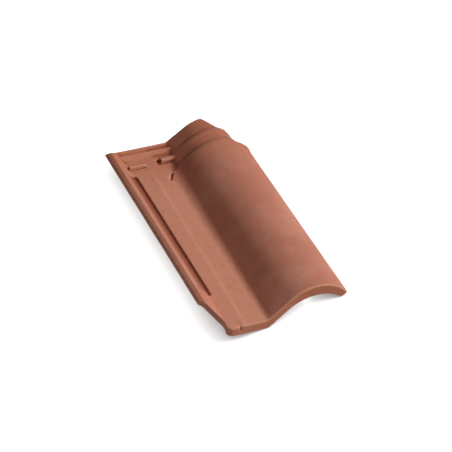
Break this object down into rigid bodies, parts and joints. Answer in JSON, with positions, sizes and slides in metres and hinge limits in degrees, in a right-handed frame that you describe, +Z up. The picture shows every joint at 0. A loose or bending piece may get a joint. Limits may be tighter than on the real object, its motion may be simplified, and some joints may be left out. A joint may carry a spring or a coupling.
{
  "type": "clay roof tile",
  "caption": "Interlocking fired clay roof tile with a flat pan, a raised side wing, a half-round roll that steps down at the head, and a batten lug underneath.",
  "frame": {"origin": "middle of the tile's box, on the floor that it lies on", "axes": "+Y from the tail to the head, +X across from the wing to the lip of the roll, +Z up; the tile lies on its tail lip, the foot of its head and the lip of its roll, so the pan leans about 13 degrees towards +X"},
  "size_m": [0.2002, 0.41, 0.0453],
  "materials": {
    "fired_clay": "unglazed fired clay, matt"
  },
  "bodies": {
    "root": {"clay_roof_tile": "fired_clay"}
  },
  "joints": []
}
